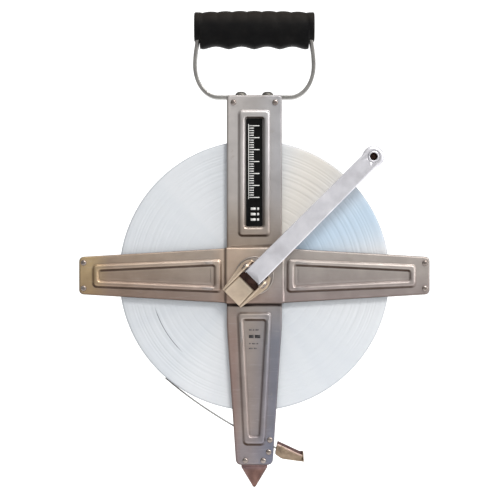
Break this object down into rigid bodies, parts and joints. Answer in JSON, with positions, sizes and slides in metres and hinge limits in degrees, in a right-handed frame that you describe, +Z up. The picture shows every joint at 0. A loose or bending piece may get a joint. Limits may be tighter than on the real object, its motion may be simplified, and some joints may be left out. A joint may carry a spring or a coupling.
{
  "type": "surveyor tape reel",
  "caption": "Open-frame reel for a long steel measuring tape, with crossed pressed plates, a bail handle, a fold-in crank, a ground spike and a folding end hook.",
  "frame": {"origin": "middle of the hand grip, on the reel's mid-plane, 227.2 mm above the axle", "axes": "+Z up from the ground spike to the grip, +X to the right as the crank side is seen, the crank side towards -Y and the axle bolt's flat head towards +Y"},
  "size_m": [0.323, 0.0504, 0.4407],
  "materials": {
    "plate_steel": "satin",
    "crank_steel": "satin",
    "plated_fasteners": "satin",
    "strap_steel": "satin",
    "coated_tape": "satin",
    "tape_blade": "satin",
    "hook_steel": "satin",
    "spike_steel": "satin",
    "dark_bolts": "satin",
    "grip_rubber": "satin",
    "label_black": "gloss",
    "spool_casting": "matte",
    "bearing_bronze": "satin",
    "nylon": "satin"
  },
  "bodies": {
    "frame": {"front_upright": "plate_steel", "front_crossbar": "plate_steel", "rear_upright": "plate_steel", "rear_crossbar": "plate_steel", "post_left_upper": "plated_fasteners", "post_left_lower": "plated_fasteners", "post_right_upper": "plated_fasteners", "post_right_lower": "plated_fasteners", "rivet_top_left": "plated_fasteners", "rivet_top_right": "plated_fasteners", "rivet_spike_left": "plated_fasteners", "rivet_spike_right": "plated_fasteners", "guide_pin_upper": "plated_fasteners", "guide_pin_lower": "plated_fasteners", "handle_block": "spool_casting", "handle_strap": "strap_steel", "handle_bolt_left": "dark_bolts", "handle_bolt_right": "dark_bolts", "handle_grip": "grip_rubber", "ground_spike": "spike_steel", "label_plate": "label_black", "front_bushing": "bearing_bronze", "rear_bushing": "bearing_bronze", "tape_leader": "tape_blade"},
    "reel": {"axle": "plated_fasteners", "rear_axle_bolt": "plated_fasteners", "front_thrust_washer": "nylon", "rear_thrust_washer": "nylon", "drum_core": "spool_casting", "drum_pin": "plated_fasteners", "tape_anchor_screw": "plated_fasteners", "tape_pack": "coated_tape", "hub_disc": "plate_steel", "crank_bracket": "plate_steel", "crank_pin": "plated_fasteners", "crank_washer_left": "plated_fasteners", "crank_washer_right": "plated_fasteners"},
    "crank": {"crank_arm": "crank_steel", "knob_spindle": "crank_steel", "knob_washer": "nylon"},
    "knob": {"crank_knob": "crank_steel"},
    "upper_roller": {"guide_roller_upper": "nylon"},
    "lower_roller": {"guide_roller_lower": "nylon"},
    "hook": {"end_hook": "hook_steel", "hook_pin": "hook_steel"}
  },
  "joints": [
    {"name": "reel_spin", "type": "hinge", "parent": "frame", "child": "reel", "pos_m": [0, 0, -0.2272], "axis": [0, 1, 0], "continuous": true},
    {"name": "crank_fold", "type": "hinge", "parent": "reel", "child": "crank", "pos_m": [0, -0.025, -0.2272], "axis": [0.7071, 0, -0.7071], "range_deg": [0, 180]},
    {"name": "knob_spin", "type": "hinge", "parent": "crank", "child": "knob", "pos_m": [0.10889, -0.014, -0.11831], "axis": [0, 1, 0], "continuous": true},
    {"name": "upper_roller_spin", "type": "hinge", "parent": "frame", "child": "upper_roller", "pos_m": [0.0143, 0, -0.3786], "axis": [0, 1, 0], "continuous": true},
    {"name": "lower_roller_spin", "type": "hinge", "parent": "frame", "child": "lower_roller", "pos_m": [0.0132, 0, -0.3898], "axis": [0, 1, 0], "continuous": true},
    {"name": "hook_fold", "type": "hinge", "parent": "frame", "child": "hook", "pos_m": [0.02545, 0, -0.38723], "axis": [0, 1, 0], "range_deg": [-60, 38]}
  ]
}
